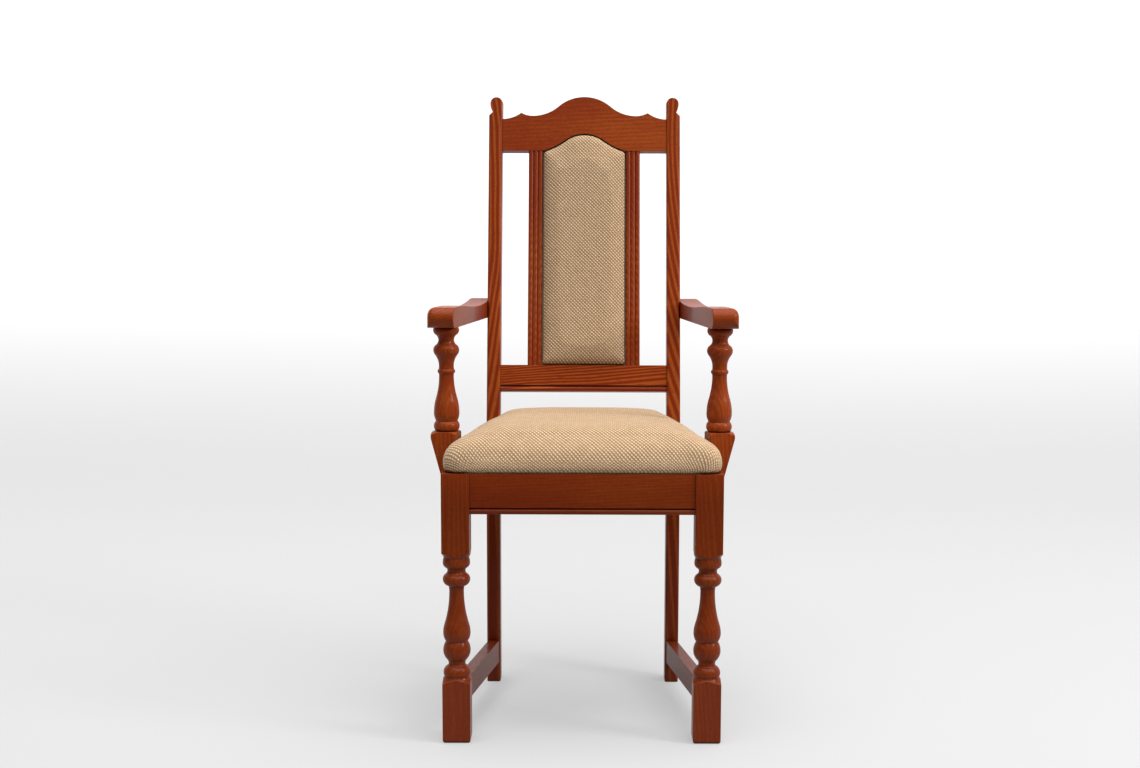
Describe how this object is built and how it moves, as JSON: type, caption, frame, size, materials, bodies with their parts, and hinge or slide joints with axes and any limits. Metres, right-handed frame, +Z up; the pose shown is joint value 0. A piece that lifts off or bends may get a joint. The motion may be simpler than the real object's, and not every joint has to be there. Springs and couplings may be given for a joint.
{
  "type": "captains chair",
  "caption": "Dining armchair with turned front legs and arm supports, raked post back with arched crest rail, upholstered seat and back panel.",
  "frame": {"origin": "middle of the chair's footprint box on the floor", "axes": "+Z up, +Y from the seat's front to its back, +X to the right seen from the front"},
  "size_m": [0.5214, 0.5499, 1.0899],
  "materials": {
    "stained_oak": "satin lacquer over a red-brown stain",
    "beige_cloth": "matt basket weave",
    "foam": "open cell foam",
    "lining_cloth": "plain cloth",
    "plywood": "sanded plywood",
    "raw_wood": "sawn hardwood",
    "steel": "zinc plated"
  },
  "bodies": {
    "root": {"arm_dowels": "raw_wood", "arm_left": "stained_oak", "arm_right": "stained_oak", "arm_support_left": "stained_oak", "arm_support_right": "stained_oak", "arm_support_screws": "steel", "back_panel_board": "plywood", "back_panel_cover": "beige_cloth", "back_panel_foam": "foam", "back_panel_rear_cloth": "beige_cloth", "back_panel_screws": "steel", "back_post_left": "stained_oak", "back_post_right": "stained_oak", "back_slat_left": "stained_oak", "back_slat_right": "stained_oak", "corner_block_screws": "steel", "crest_rail": "stained_oak", "front_corner_block_left": "raw_wood", "front_corner_block_right": "raw_wood", "front_leg_left": "stained_oak", "front_leg_right": "stained_oak", "front_seat_rail": "stained_oak", "lower_back_rail": "stained_oak", "rear_corner_block_left": "raw_wood", "rear_corner_block_right": "raw_wood", "rear_seat_rail": "stained_oak", "seat_board": "plywood", "seat_cover": "beige_cloth", "seat_dust_cover": "lining_cloth", "seat_fixing_screws": "steel", "seat_foam": "foam", "side_seat_rail_left": "stained_oak", "side_seat_rail_right": "stained_oak", "side_stretcher_left": "stained_oak", "side_stretcher_right": "stained_oak"}
  },
  "joints": []
}
